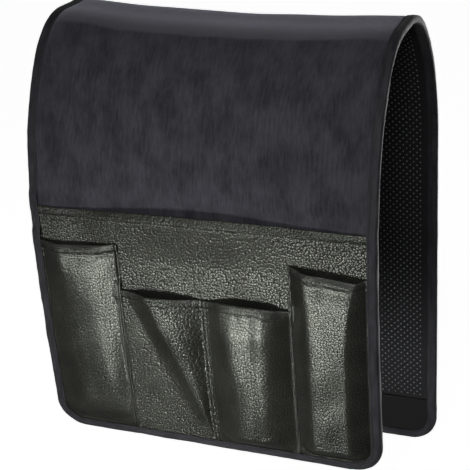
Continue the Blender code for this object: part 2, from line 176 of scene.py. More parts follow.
def rim_distance(s, x):
    """How far a place lies inside the mat's rounded outline."""
    past_x = np.abs(x) - (MAT_WIDTH / 2 - CORNER_RADIUS)
    past_s = np.maximum(FRONT_END + CORNER_RADIUS - s, s - REAR_END + CORNER_RADIUS)
    corner = np.hypot(np.maximum(past_x, 0), np.maximum(past_s, 0))
    return CORNER_RADIUS - np.where(np.minimum(past_x, past_s) > 0, corner, np.maximum(past_x, past_s))


def half_width(s, inset):
    """Half the mat's width at s, on a line that runs inside the rounded outline by inset."""
    radius = CORNER_RADIUS - inset
    end_distance = np.minimum(s - FRONT_END, REAR_END - s)
    past_centre = np.clip(CORNER_RADIUS - end_distance, 0, radius)
    return MAT_WIDTH / 2 - CORNER_RADIUS + np.sqrt(radius ** 2 - past_centre ** 2)


def waves(s, x, length, seed, stretch=1):
    """Gentle chance waves over the cloth, about length long, mostly between -1 and 1."""
    chance = np.random.default_rng(seed).random((16, 3))
    total = 0 * (s + x)
    for turn, start, size in chance:
        angle = 2 * math.pi * turn
        travel = s * math.cos(angle) / stretch + x * math.sin(angle)
        total = total + np.sin(2 * math.pi * (travel / (length * (0.7 + 0.6 * size)) + start))
    return total / 4


def marks(low, high, step, close_to=(), close_step=0.001, reach=0.004):
    """Places from low to high, step apart, and closer together near the places in close_to."""
    places = [np.linspace(low, high, max(2, round((high - low) / step) + 1))]
    for centre in close_to:
        places.append(np.arange(centre - reach, centre + reach, close_step))
    kept = [low]
    for place in np.sort(np.concatenate(places)):
        if place - kept[-1] > close_step * 0.7 and place < high - close_step * 0.7:
            kept.append(place)
    return np.array(kept + [high])


def corner_marks(end, inwards):
    """Places along the mat where rows cross the rounded corners at one of its ends."""
    angle = np.linspace(0, math.pi / 2, 14)
    return end + inwards * (CORNER_RADIUS - (CORNER_RADIUS - EDGE_INSET) * np.cos(angle))


def sheet_rows(low, high, step, corners):
    """Rows of a sheet along the mat, closer together in the mat's rounded corners."""
    return marks(low, high, step, corners, 0.0015, 0.001)[:, None]


def across_marks(s, step):
    """Places across the mat on the rows s of a sheet, closer together near the binding."""
    edge = MAT_WIDTH / 2 - EDGE_INSET
    near_edge = np.array([0, 0.002, 0.004, 0.0055, 0.0065, 0.0072, 0.0080, 0.0092, 0.0108, 0.0130, 0.0160])
    middle = np.linspace(-edge + 0.019, edge - 0.019, round(2 * edge / step))
    shares = np.concatenate([near_edge - edge, middle, edge - near_edge[::-1]]) / edge
    return half_width(s, EDGE_INSET) * shares


class Value:
    """The output of a node in a finish. Sums with numbers or other outputs add Math nodes."""

    def __init__(self, finish, socket):
        self.finish = finish
        self.socket = socket

    def worked(self, operation, *terms):
        return self.finish.node("Math", {"operation": operation}, dict(enumerate(terms)))

    def __add__(self, other):
        return self.worked("ADD", self, other)

    def __sub__(self, other):
        return self.worked("SUBTRACT", self, other)

    def __rsub__(self, other):
        return self.worked("SUBTRACT", other, self)

    def __mul__(self, other):
        return self.worked("MULTIPLY", self, other)

    __radd__ = __add__
    __rmul__ = __mul__

    def between(self, low, high):
        """0 where this is low or less, 1 where it is high or more, soft at both ends."""
        limits = {"Value": self, "From Min": low, "From Max": high}
        return self.finish.node("MapRange", {"interpolation_type": "SMOOTHSTEP"}, limits)


class Finish:
    """A material for one kind of cloth, leather or thread."""

    def __init__(self, name, **fixed):
        self.material = bpy.data.materials.new(name)
        self.material.use_nodes = True
        self.tree = self.material.node_tree
        self.surface = self.tree.nodes["Principled BSDF"]
        for socket, value in fixed.items():
            self.set(self.surface, socket.replace("_", " "), value)

    def set(self, node, socket, value):
        if isinstance(value, Value):
            self.tree.links.new(value.socket, node.inputs[socket])
        else:
            node.inputs[socket].default_value = value

    def node(self, kind, settings=None, sockets=None, output=0):
        """Adds a node: its settings first, then the values or links of its sockets."""
        added = self.tree.nodes.new("ShaderNode" + kind)
        for name, value in (settings or {}).items():
            setattr(added, name, value)
        for socket, value in (sockets or {}).items():
            self.set(added, socket, value)
        return Value(self, added.outputs[output])

    def flat(self, across=1, along=1):
        """The place in the sewing pattern: x times across, s times along."""
        place = self.node("TexCoord", output="UV")
        return self.node("Mapping", {}, {"Vector": place, "Scale": (across, along, 1)})

    def noise(self, place, scale, detail=3, roughness=0.5):
        settings = {"Vector": place, "Scale": scale, "Detail": detail, "Roughness": roughness}
        return self.node("TexNoise", {"noise_dimensions": "2D"}, settings)

    def ribs(self, scale, distortion):
        """The diagonal ribs of twill."""
        settings = {"Vector": self.flat(), "Scale": scale, "Distortion": distortion, "Detail": 1}
        return self.node("TexWave", {"bands_direction": "DIAGONAL"}, settings, "Fac")

    def mix(self, share, first, second):
        return self.node("Mix", {"data_type": "RGBA"}, {0: share, 6: first, 7: second}, 2)

    def show(self, colour, roughness, height, distance, strength=1):
        """Joins the colour, the roughness and a bump height to the surface."""
        self.set(self.surface, "Base Color", colour)
        self.set(self.surface, "Roughness", roughness)
        bump = self.node("Bump", {}, {"Height": height, "Distance": distance, "Strength": strength})
        self.set(self.surface, "Normal", bump)

    def cover(self, share, **fixed):
        """Covers a share of the surface with a second, even one."""
        sockets = {socket.replace("_", " "): value for socket, value in fixed.items()}
        second = self.node("BsdfPrincipled", {}, sockets)
        first = Value(self, self.surface.outputs["BSDF"])
        both = self.node("MixShader", {}, {0: share, 1: first, 2: second})
        self.tree.links.new(both.socket, self.tree.nodes["Material Output"].inputs["Surface"])


def finish_piece(name, mesh, finish):
    """Makes a mesh a piece with its finish, smooth up to its sharp edges, and its place on the frame."""
    piece = bpy.data.objects.new(name, mesh)
    bpy.context.scene.collection.objects.link(piece)
    mesh.materials.append(finish.material)
    mesh.shade_smooth()
    mesh.set_sharp_from_angle(angle=math.radians(55))
    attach(piece, "root")
    return piece


def sewn_piece(name, middle, s, x, thickness, finish, joined=False, tones=None):
    """A piece of cloth or leather from its middle surface, with its pattern's places s, x as UVs."""
    wrapped = np.concatenate([middle[-1:], middle, middle[:1]]) if joined else middle
    along = np.gradient(wrapped, axis=0)
    along = along[1:-1] if joined else along
    normal = np.cross(np.gradient(middle, axis=1), along)
    normal /= np.linalg.norm(normal, axis=-1, keepdims=True)
    outside = (middle + normal * thickness / 2).reshape(-1, 3)
    inside = (middle - normal * thickness / 2).reshape(-1, 3)
    point_at = np.arange(len(outside)).reshape(middle.shape[:2])
    if joined:
        point_at = np.vstack([point_at, point_at[:1]])
    spot = np.arange(point_at.size).reshape(point_at.shape)
    edges = [(spot[:-1, -1], spot[1:, -1]), (spot[1:, 0], spot[:-1, 0])]
    if not joined:
        edges += [(spot[0, :-1], spot[0, 1:]), (spot[-1, 1:], spot[-1, :-1])]
    wall = np.concatenate([np.stack(edge, axis=-1) for edge in edges])[:, [1, 0, 0, 1]]
    face = np.stack([spot[:-1, :-1], spot[:-1, 1:], spot[1:, 1:], spot[1:, :-1]], axis=-1).reshape(-1, 4)
    corner = np.concatenate([face, face[:, ::-1], wall])
    turned = np.concatenate([0 * face, 0 * face + 1, 0 * wall + [0, 0, 1, 1]])
    mesh = bpy.data.meshes.new(name)
    points = np.concatenate([outside, inside])
    mesh.from_pydata(points.tolist(), [], (point_at.ravel()[corner] + turned * len(outside)).tolist())
    pattern = mesh.uv_layers.new(name="pattern")
    flat = np.stack([(x + 0 * s).ravel(), (s + 0 * x).ravel()], axis=-1)
    pattern.data.foreach_set("uv", flat[corner].ravel().astype(np.float32))
    for tone, values in (tones or {}).items():
        held = mesh.attributes.new(tone, "FLOAT", "POINT")
        held.data.foreach_set("value", np.tile(values.ravel(), 2).astype(np.float32))
    return finish_piece(name, mesh, finish)


knit = Finish("lining_knit", Specular_IOR_Level=0.25)
knit_ribs = knit.noise(knit.flat(1 / 0.0009, 1 / 0.0013), 1, 2)
knit_tone = knit.noise(knit.flat(), 30, 3)
knit.show(
    knit.mix(knit_tone * 0.5 + knit_ribs * 0.5, KNIT_BLACK, KNIT_GREY),
    0.85 + 0.1 * knit_tone, knit_ribs, 0.0003,
)
lining_rows = sheet_rows(FRONT_RIM, LINING_END, 0.006, corner_marks(FRONT_END, 1))
lining_x = across_marks(lining_rows, 0.006)
dotted_lining = sewn_piece(
    "dotted_lining_cloth", drape(lining_rows, lining_x, LINING_THICKNESS / 2),
    lining_rows, lining_x, LINING_THICKNESS, knit,
)
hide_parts("dotted_lining")

# ----------------------------------------
# The grip dots. Small drops of soft rubber are printed on the arm side of the lining in staggered
# rows. They stop short of the binding and of the band inside the rear hem.
DOT_RADIUS = 0.00075
DOT_HEIGHT = 0.0005
DOT_ROW = 0.0034
DOT_PITCH = 0.0068
DOT_MARGIN = 0.0155
DOT_BAND_GAP = 0.002
DOTS_EACH_SIDE = 24
DOT_SUNK = 0.0001
DOT_GREY = (0.150, 0.158, 0.170, 1)
DOT_DARK = (0.075, 0.079, 0.087, 1)


def set_out(name, shape, places, axes, finish):
    """One mesh with a copy of a small shape at each place, turned to that place's three axes."""
    points = np.array([vertex.co for vertex in shape.data.vertices])
    faces = [list(face.vertices) for face in shape.data.polygons]
    moved = places[:, None] + np.einsum("vk,pkc->pvc", points, axes)
    mesh = bpy.data.meshes.new(name)
    starts = range(0, len(points) * len(places), len(points))
    copies = [[point + start for point in face] for start in starts for face in faces]
    mesh.from_pydata(moved.reshape(-1, 3).tolist(), [], copies)
    return finish_piece(name, mesh, finish)


def grip_dot():
    """One drop of rubber: the upper half of a low ball."""
    bpy.ops.object.select_all(action="DESELECT")
    bpy.ops.mesh.primitive_uv_sphere_add(segments=8, ring_count=4, radius=DOT_RADIUS)
    bpy.ops.object.mode_set(mode="EDIT")
    bpy.ops.mesh.select_all(action="SELECT")
    bpy.ops.mesh.bisect(plane_co=(0, 0, 0), plane_no=(0, 0, 1), clear_inner=True, use_fill=True)
    bpy.ops.mesh.select_all(action="SELECT")
    bpy.ops.transform.resize(value=(1, 1, DOT_HEIGHT / DOT_RADIUS))
    bpy.ops.transform.translate(value=(0, 0, -DOT_SUNK))
    bpy.ops.object.mode_set(mode="OBJECT")
    return bpy.context.object


def dot_places(low, high):
    """Staggered places s, x of the dots between two places along the mat."""
    found = []
    for row in range(math.ceil(low / DOT_ROW), math.floor(high / DOT_ROW) + 1):
        shift = DOT_PITCH / 4 * (-1) ** row
        x = np.arange(-DOTS_EACH_SIDE, DOTS_EACH_SIDE + 1) * DOT_PITCH + shift
        found.append(np.stack([np.full(len(x), row * DOT_ROW), x], axis=1))
    found = np.concatenate(found)
    return found[rim_distance(found[:, 0], found[:, 1]) > DOT_MARGIN]


rubber = Finish("dot_rubber")
rubber_place = rubber.node("TexCoord", output="Object")
rubber_tone = rubber.node("TexNoise", {}, {"Vector": rubber_place, "Scale": 160})
rubber.show(rubber.mix(rubber_tone, DOT_DARK, DOT_GREY), 0.42 + 0.2 * rubber_tone, rubber_tone, 0.0001)
dot = grip_dot()
for flap, low, high in (("front", FRONT_END, 0), ("rear", DOT_ROW / 2, BAND_TOP - DOT_BAND_GAP)):
    s, x = dot_places(low, high).T
    sideways = np.stack([1 + 0 * s, 0 * s, 0 * s], axis=-1)
    outwards = drape(s, x, 0) - drape(s, x, 1)
    axes = np.stack([sideways, np.cross(outwards, sideways), outwards], axis=1)
    set_out("grip_dots_" + flap, dot, drape(s, x, 0), axes, rubber)
bpy.data.objects.remove(dot)

# ----------------------------------------
# The rear hem band. A plain strip of the binding's black twill closes the inside of the rear hem. It
# laps over the end of the lining, where one row of stitches holds it.
BAND_THICKNESS = 0.0006
LAP_RAMP = 0.004
TWILL_BLACK = (0.0035, 0.0035, 0.0038, 1)
TWILL_GREY = (0.0065, 0.0065, 0.0072, 1)


def band_seat(s):
    """Height of the rear band: on the lining where it laps over it, then against the mat's inside."""
    return (BAND_THICKNESS + GAP) * (ramp(s - LINING_END, LAP_RAMP) - 1)


twill = Finish("band_twill", Specular_IOR_Level=0.12)
twill_tone = twill.noise(twill.flat(), 60, 4)
twill.show(
    twill.mix(twill_tone, TWILL_BLACK, TWILL_GREY), 0.75 + 0.1 * twill_tone,
    twill.ribs(300, 0.6), 0.0002, 0.6,
)
band_rows = sheet_rows(BAND_TOP, REAR_RIM, 0.003, corner_marks(REAR_END, -1))
band_x = across_marks(band_rows, 0.006)
turned_top = -0.0004 * (1 - ramp(band_rows - BAND_TOP, 0.003))
band_waves = 0.00012 * waves(band_rows, band_x, 0.03, 5)
rear_band = sewn_piece(
    "rear_hem_band_twill",
    drape(band_rows, band_x, band_seat(band_rows) + BAND_THICKNESS / 2 + turned_top + band_waves),
    band_rows, band_x, BAND_THICKNESS, twill,
)
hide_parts("rear_hem_band")

# ----------------------------------------
# The interlining. A sheet of white needled wadding between lining and cover gives the mat its body.
# It is caught in the binding all the way round and can't be seen in the finished mat.
INTERLINING_UNDER = LINING_THICKNESS + GAP
INTERLINING_THICKNESS = 0.0020
WADDING_WHITE = (0.78, 0.78, 0.75, 1)
WADDING_SHADE = (0.66, 0.66, 0.62, 1)

wadding = Finish("white_wadding", Specular_IOR_Level=0.1)
fibres = wadding.noise(wadding.flat(), 700, 4, 0.7)
wadding.show(wadding.mix(fibres, WADDING_SHADE, WADDING_WHITE), 0.95 - 0.05 * fibres, fibres, 0.0005)
mat_corners = np.concatenate([corner_marks(FRONT_END, 1), corner_marks(REAR_END, -1)])
padding_rows = sheet_rows(FRONT_RIM, REAR_RIM, 0.010, mat_corners)
padding_x = across_marks(padding_rows, 0.012)
padding = sewn_piece(
    "interlining_padding",
    drape(padding_rows, padding_x, INTERLINING_UNDER + INTERLINING_THICKNESS / 2),
    padding_rows, padding_x, INTERLINING_THICKNESS, wadding,
)
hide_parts("interlining")

# ----------------------------------------
# The outer cover. It is a charcoal plush with a short brushed pile, the whole outside of the mat. It
# puffs up beside the binding, and a soft crease runs across it where the mat turns down in front.
# From the crease back over the crown it is painted lighter than on the flaps, as painted light from above.
COVER_UNDER = INTERLINING_UNDER + INTERLINING_THICKNESS + GAP
COVER_THICKNESS = 0.0015
MAT_TOP = COVER_UNDER + COVER_THICKNESS
BINDING_WIDTH = 0.0090
WIDE_POCKET_HEIGHT = 0.246
WIDE_MOUTH = FRONT_END + WIDE_POCKET_HEIGHT
COVER_PUFF = 0.0010
COVER_WAVE = 0.0007
CREASE_PLACE = -0.0424
CREASE_HEIGHT = 0.0013
CREASE_BEHIND = 0.024
CREASE_AHEAD = 0.0075
NAP_DARK = (0.0070, 0.0067, 0.0085, 1)
NAP_LIGHT = (0.0345, 0.0335, 0.0405, 1)
NAP_PAINTED_CROWN_LIGHT = (0.0315, 0.0305, 0.0355, 1)


def swell(value, width):
    """Like ramp, but rounded off at its top, as cloth pushed out from behind is."""
    return np.sin(ramp(value, width) * math.pi / 2)


def past_crease(s, x):
    """Distance from the crease in front of the crown, positive on the crown's side."""
    wander = 0.0040 * ease(x - 0.045, 0.08) + 0.0007 * waves(0 * s, x, 0.05, 21)
    return s - CREASE_PLACE - wander


def cover_n(s, x):
    """Height of the cover's middle surface."""
    beside = rim_distance(s, x) - BINDING_WIDTH
    bare = ramp(s - WIDE_MOUTH - 0.002, 0.03)
    wave = COVER_WAVE * ramp(beside, 0.03) * (1 + waves(s, x, 0.085, 3, 1.6))
    puff = (COVER_PUFF * swell(beside, 0.007) + wave) * (1 - 0.6 * line_at(s - 0.01, 0.05))
    past = past_crease(s, x)
    ridge = np.exp(-np.abs(past) / np.where(past > 0, CREASE_BEHIND, CREASE_AHEAD))
    crease = CREASE_HEIGHT * ridge * ramp(beside, 0.012) * (0.8 + 0.2 * waves(0 * s, x, 0.07, 8))
    return COVER_UNDER + COVER_THICKNESS / 2 + bare * (puff + crease)


plush = Finish("plush_nap", Specular_IOR_Level=0.08, Sheen_Weight=0.25, Sheen_Roughness=0.45)
plush.set(plush.surface, "Sheen Tint", (0.86, 0.86, 1.0, 1))
streaks = plush.noise(plush.flat(1 / 0.0022, 1 / 0.013), 1, 3, 0.6)
patches = plush.noise(plush.flat(1 / 0.022, 1 / 0.034), 1, 4, 0.6)
specks = plush.noise(plush.flat(), 1100, 2, 0.6)
# Painted light: the crown's colour is lighter than the flaps', as if lit from above.
painted_crown_light_fac = plush.node("Attribute", {"attribute_name": "painted_crown_light"}, output="Fac")
nap_tone = 0.34 * streaks.between(0.25, 0.75) + 0.40 * patches.between(0.30, 0.70)
nap_tone = nap_tone + 0.26 * specks.between(0.3, 0.7)
flap_nap = plush.mix(nap_tone, NAP_DARK, NAP_LIGHT)
plush.show(
    plush.mix(painted_crown_light_fac, flap_nap, plush.mix(nap_tone, NAP_LIGHT, NAP_PAINTED_CROWN_LIGHT)),
    0.92 + 0.06 * patches, streaks * 0.5 + specks, 0.0005, 0.8,
)
cover_rows = sheet_rows(FRONT_RIM, REAR_RIM, 0.004, mat_corners)
crease_rows = np.arange(CREASE_PLACE - 0.012, CREASE_PLACE + 0.016, 0.001)
apart = (cover_rows < crease_rows[0] - 0.0005) | (cover_rows > crease_rows[-1] + 0.0005)
cover_rows = np.unique(np.concatenate([cover_rows[apart], crease_rows]))[:, None]
cover_x = across_marks(cover_rows, 0.004)
past = past_crease(cover_rows, cover_x)
# Share of the painted light on the crown: 1 from the crease back over the crown, a quarter on the rear
# flap.
painted_crown_light = ease(past + 0.002, 0.004) * (1 - 0.75 * ease(cover_rows - 0.01, 0.10))
cover = sewn_piece(
    "outer_cover_plush", drape(cover_rows, cover_x, cover_n(cover_rows, cover_x)),
    cover_rows, cover_x, COVER_THICKNESS, plush, tones={"painted_crown_light": painted_crown_light},
)
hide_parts("outer_cover")

# ----------------------------------------
# The wide pocket panel. It is pebbled faux leather, as wide as the mat, sewn into the binding along
# its sides and foot. Its mouth is a folded hem, and stands a little away from the plush.
LEATHER_THICKNESS = 0.0009
HEM_HEIGHT = 0.006
HEM_RAMP = 0.006
HEM_STEP = 0.0014
HEM_ROLL = (LEATHER_THICKNESS + GAP) / 2
HEM_ROOM = 2 * HEM_ROLL
SEWN_WIDTH = BINDING_WIDTH + 0.0015
WIDE_GAPE = 0.0105
WIDE_RISE = 0.0045
WIDE_SLANT = 0.0055
RISE_REACH = 0.060
HEM_REACH = 0.030
HEM_STIFFNESS = 0.30
HEM_TIP = 0.0016
BELLY = 0.0020
BELLY_UP = 0.45
GAPE_REACH = 0.048
PEBBLE = 0.0024
# The grain's valley colour, also used as painted shade along stitches and over hems.
LEATHER_VALLEY = (0.0020, 0.0021, 0.0016, 1)
LEATHER_DARK = (0.0090, 0.0094, 0.0072, 1)
LEATHER_LIGHT = (0.0145, 0.0151, 0.0117, 1)
# The colour of the painted highlight along folded edges.
LEATHER_EDGE_HIGHLIGHT = (0.0300, 0.0310, 0.0260, 1)


def up_share(s, pocket_height):
    """How far up a pocket a place lies: 0 where its foot is sewn, 1 at its mouth."""
    return ramp(s - FRONT_END - SEWN_WIDTH, pocket_height - SEWN_WIDTH)


def hem_zone(s, mouth):
    """The room that a pocket's hem takes: 1 where it lies, 0 a little below it."""
    return ramp(s - (mouth - HEM_HEIGHT - HEM_RAMP), HEM_RAMP)


def hem_step(s, mouth):
    """The step where a hem's doubled leather ends: 1 on the hem, 0 under it."""
    return ease(s - (mouth - HEM_HEIGHT - HEM_STEP), HEM_STEP)


def hem_hold(s, mouth):
    """The doubled hem is stiffer, and holds the mouth closer than the pocket below it."""
    return 1 - HEM_STIFFNESS * ease(s - mouth + HEM_REACH, HEM_REACH)


def leather_height(s, mouth):
    """Room that a pocket's sewn edge takes up, with its doubled hem, in the layer that covers it."""
    below = ramp(mouth + 2 * HEM_RAMP - s, HEM_RAMP)
    return below * (LEATHER_THICKNESS + GAP + HEM_ROOM * hem_zone(s, mouth))


def hem_pull(s, x, mouth, seed):
    """How the stitches along a hem pull the leather in: a groove, a ridge under it, small puckers."""
    above = s - mouth + HEM_HEIGHT
    groove = -0.0006 * line_at(above, 0.0012)
    ridge = 0.0004 * line_at(above + 0.0030, 0.0015)
    puckers = 0.00018 * waves(s, x, 0.011, seed, 4) * np.exp(-np.abs(above) / 0.006)
    return groove + ridge * (1 + 0.4 * waves(0 * s, x, 0.018, seed + 1)) + puckers


def hem_tip(s, mouth, room):
    """How far a hem leans back at its mouth, where the open pocket leaves it room."""
    return -np.minimum(HEM_TIP, 0.4 * room) * ramp(s - mouth + HEM_HEIGHT, HEM_HEIGHT)


def panel_crown(x):
    """1 at the middle of the wide panel, 0 at its sewn sides."""
    return (1 + np.cos(math.pi * ramp(np.abs(x), MAT_WIDTH / 2 - SEWN_WIDTH))) / 2


def panel_base(s, x):
    """Height of the wide panel without its hem, which the pockets in front of it follow."""
    up = up_share(s, WIDE_POCKET_HEIGHT)
    near = ramp(s - WIDE_MOUTH + GAPE_REACH, GAPE_REACH)
    gape = WIDE_GAPE * panel_crown(x) * near ** 1.5 * (3 - near) / 2
    belly = BELLY * swell(up, BELLY_UP) * (1 - ease(up - BELLY_UP, 0.42)) * panel_crown(x)
    uneven = ramp(rim_distance(s, x) - SEWN_WIDTH, 0.03) * 0.0005 * (1 + waves(s, x, 0.06, 11))
    return MAT_TOP + GAP + LEATHER_THICKNESS / 2 + gape + belly + uneven


def panel_n(s, x):
    """Height of the wide panel's middle surface."""
    hem = HEM_ROOM * hem_step(s, WIDE_MOUTH) + 2 * hem_tip(s, WIDE_MOUTH, WIDE_GAPE * panel_crown(x))
    return panel_base(s, x) + hem + hem_pull(s, x, WIDE_MOUTH, 31)


def mouth_place(s, x, mouth, rise, seed):
    """Where a row of the pattern comes to lie: the open mouth is drawn up, and wavers a little."""
    near = ramp(s - mouth + RISE_REACH, RISE_REACH)
    return s + near * (rise + 0.0002 * near * waves(0 * s, x, 0.03, seed))


def wide_at(s, x, lift=0):
    """Where the wide panel's flat places come to lie."""
    rise = WIDE_RISE * panel_crown(x) - WIDE_SLANT * (0.5 - x / MAT_WIDTH)
    return drape(mouth_place(s, x, WIDE_MOUTH, rise, 41), x, panel_n(s, x) + lift)


def with_hem(points, s):
    """Adds a hem to a grid: past its last row the leather turns over and runs down behind itself."""
    normal = np.cross(np.gradient(points, axis=1), np.gradient(points, axis=0))
    normal /= np.linalg.norm(normal, axis=-1, keepdims=True)
    up = points[-1] - points[-2]
    up /= np.linalg.norm(up, axis=-1, keepdims=True)
    turn = []
    turn_s = []
    for angle in np.linspace(0, math.pi, 9)[1:]:
        out = HEM_ROLL * (1 - math.cos(angle))
        turn.append(points[-1] + up * HEM_ROLL * math.sin(angle) - normal[-1] * out)
        turn_s.append(s[-1] + angle * HEM_ROLL)
    behind = []
    for row in range(len(points) - 2, 0, -1):
        if s[-1, 0] - s[row, 0] < HEM_HEIGHT:
            behind.append(points[row] - normal[row] * 2 * HEM_ROLL)
            turn_s.append(turn_s[-1] + s[row + 1] - s[row])
    return np.concatenate([points, turn, behind]), np.concatenate([s, turn_s])


def leather_piece(name, at, s, x, mouth, seam_tones=None, slack_until=-1):
    """A pocket piece: its middle surface over a grid of its pattern, with the hem folded behind.

    Its folded edges carry a painted highlight, a lighter and glossier line. Along the rows of stitches it
    is pressed flatter and carries painted shade, darker and duller, and its whole hem is painted a little
    darker.
    Its grain stands higher where it is slack, left of slack_until, than where a bulge stretches it.
    """
    points, s = with_hem(at(s, x), s + 0 * x)
    x = np.concatenate([x, np.repeat(x[-1:], len(s) - len(x), axis=0)])
    # Painted shade: darker and duller along the hem's row of stitches, and a little darker over the whole
    # hem.
    sewn = line_at(s - mouth + HEM_HEIGHT, 0.0011)
    pressed_and_painted_shade = np.maximum(0.2 * sewn, 0.25 * (s > mouth - HEM_HEIGHT))
    # Painted highlight: a lighter, glossier line along the hem's folded edge.
    tones = {
        "edge_highlight": line_at(s - mouth - HEM_ROLL, 0.0012),
        "pressed_and_painted_shade": pressed_and_painted_shade,
        "slack": 1.0 * (x < slack_until) + 0 * s,
    }
    for tone, values in (seam_tones(s, x) if seam_tones else {}).items():
        tones[tone] = np.maximum(tones[tone], values)
    return sewn_piece(name, points, s, x, LEATHER_THICKNESS, hide, tones=tones)


def leather_rows(mouth, step):
    """Rows of a pocket piece, closer together at its hem and in the mat's rounded corners."""
    close = [mouth - HEM_HEIGHT - HEM_STEP / 2, mouth - HEM_HEIGHT + 0.001, *corner_marks(FRONT_END, 1)]
    return marks(FRONT_RIM, mouth, step, close, 0.0006, 0.0012)[:, None]


hide = Finish("pebbled_leather", Specular_IOR_Level=0.44, Specular_Tint=(0.95, 1.0, 0.88, 1))
warp = hide.noise(hide.flat(), 380, 2)
warped = {0: hide.node("CombineXYZ", {}, {0: warp, 1: warp}), 1: (0.0006, 0.0006, 0), 2: hide.flat()}
warped = hide.node("VectorMath", {"operation": "MULTIPLY_ADD"}, warped)
cells = {"Vector": warped, "Scale": 1 / PEBBLE, "Randomness": 0.95}
from_middle, from_edge = (
    hide.node("TexVoronoi", {"feature": feature, "voronoi_dimensions": "2D"}, cells, "Distance")
    for feature in ("F1", "DISTANCE_TO_EDGE")
)
valley = from_edge.between(-0.05, 0.16)
pebble = (1 - from_middle * from_middle) * (0.8 + 0.2 * valley)
wear = hide.noise(hide.flat(), 28, 4, 0.6).between(0.35, 0.68)
edge_highlight, pressed_and_painted_shade, slack = (
    hide.node("Attribute", {"attribute_name": tone}, output="Fac")
    for tone in ("edge_highlight", "pressed_and_painted_shade", "slack")
)
grain = hide.mix(valley, LEATHER_VALLEY, hide.mix(wear, LEATHER_DARK, LEATHER_LIGHT))
# Painted highlight: folded edges are mixed towards a lighter colour.
with_edge_highlight = hide.mix(edge_highlight * (0.4 + 0.6 * wear), grain, LEATHER_EDGE_HIGHLIGHT)
hide.show(
    # Painted shade where the leather is pressed: the colour goes to the valley colour and the surface gets
    # rougher.
    hide.mix(pressed_and_painted_shade, with_edge_highlight, LEATHER_VALLEY), 0.31 + 0.03 * wear - 0.03 * edge_highlight + 0.25 * pressed_and_painted_shade,
    pebble * (1 + 1.5 * slack - 0.5 * pressed_and_painted_shade), 0.00021,
)
# The dull dark cover fills the grain's valleys, and more of the surface where painted shade lies along
# stitches.
hide.cover(
    1 - valley * (1 - 0.6 * pressed_and_painted_shade), Base_Color=LEATHER_VALLEY, Roughness=0.8, Specular_IOR_Level=0.05,
)
wide_rows = leather_rows(WIDE_MOUTH, 0.003)
wide_x = across_marks(wide_rows, 0.0025)
wide_panel = leather_piece("wide_pocket_leather", wide_at, wide_rows, wide_x, WIDE_MOUTH, slack_until=1)
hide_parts("wide_pocket_panel")

# ----------------------------------------
# The centre pocket. One lower strip of the same leather is sewn down its middle by two close rows of
# stitches. Its right half stands out in a half round, and its left half has a slack fold across it.
LEFT_SEAM = -0.0780
DIVIDER_SEAM = 0.0040
RIGHT_SEAM = 0.0855
SEAM_MARGIN = 0.0015
FLANGE_WIDTH = 0.0022
TUCK_WIDTH = 0.0040
DIVIDER_LEFT = DIVIDER_SEAM - 0.0045
DIVIDER_RIGHT = DIVIDER_SEAM + 0.0035
DIVIDER_ROW = 0.0018
CENTRE_POCKET_HEIGHT = 0.166
CENTRE_MOUTH = FRONT_END + CENTRE_POCKET_HEIGHT
CENTRE_DEPTH = 0.0130
CENTRE_RISE = 0.0035
CENTRE_RAMP = 0.029
CENTRE_BOTTOM_RAMP = 0.018
FOLD_DEPTH = 0.0155
FOLD_RISE = 0.0015
FOLD_MOUTH_WIDTH = 0.0755
FOLD_FOOT_WIDTH = 0.0090
FOLD_RIDGE_DISTANCE = 0.0460
FOLD_SHARPNESS = 7


def barrel(value, width):
    """Like ramp, but a quarter circle, which leaves its foot steeply."""
    return np.sqrt(1 - (1 - ramp(value, width)) ** 2)


def fold_lines(s):
    """Distances from the divider to the slack fold's foot and ridge. The fold narrows downwards."""
    up = up_share(s, CENTRE_POCKET_HEIGHT)
    foot = FOLD_FOOT_WIDTH + (FOLD_MOUTH_WIDTH - FOLD_FOOT_WIDTH) * up
    return foot, np.minimum(FOLD_RIDGE_DISTANCE * up ** 1.6 + 0.001, 0.85 * foot)


def centre_crown(x):
    """1 along the middle of the centre pocket's right half, 0 at the divider and at the right seam."""
    return swell(x - DIVIDER_RIGHT, CENTRE_RAMP) * swell(RIGHT_SEAM - SEAM_MARGIN - x, CENTRE_RAMP)


def fold_height(s, x):
    """Height of the slack fold: it rises ever more steeply to its ridge, and rounds off to the divider."""
    foot, ridge = fold_lines(s)
    away = DIVIDER_LEFT - x
    least = 0.0001
    rising = 1.15 * ramp(foot - away, foot - ridge) ** 1.4 + 0.6 * ramp(ridge - away, ridge) + least
    falling = swell(away, ridge) + 0.6 * ramp(away - ridge, foot - ridge) + least
    lower = (rising ** -FOLD_SHARPNESS + falling ** -FOLD_SHARPNESS) ** (-1 / FOLD_SHARPNESS)
    return FOLD_DEPTH * up_share(s, CENTRE_POCKET_HEIGHT) * (lower - least)


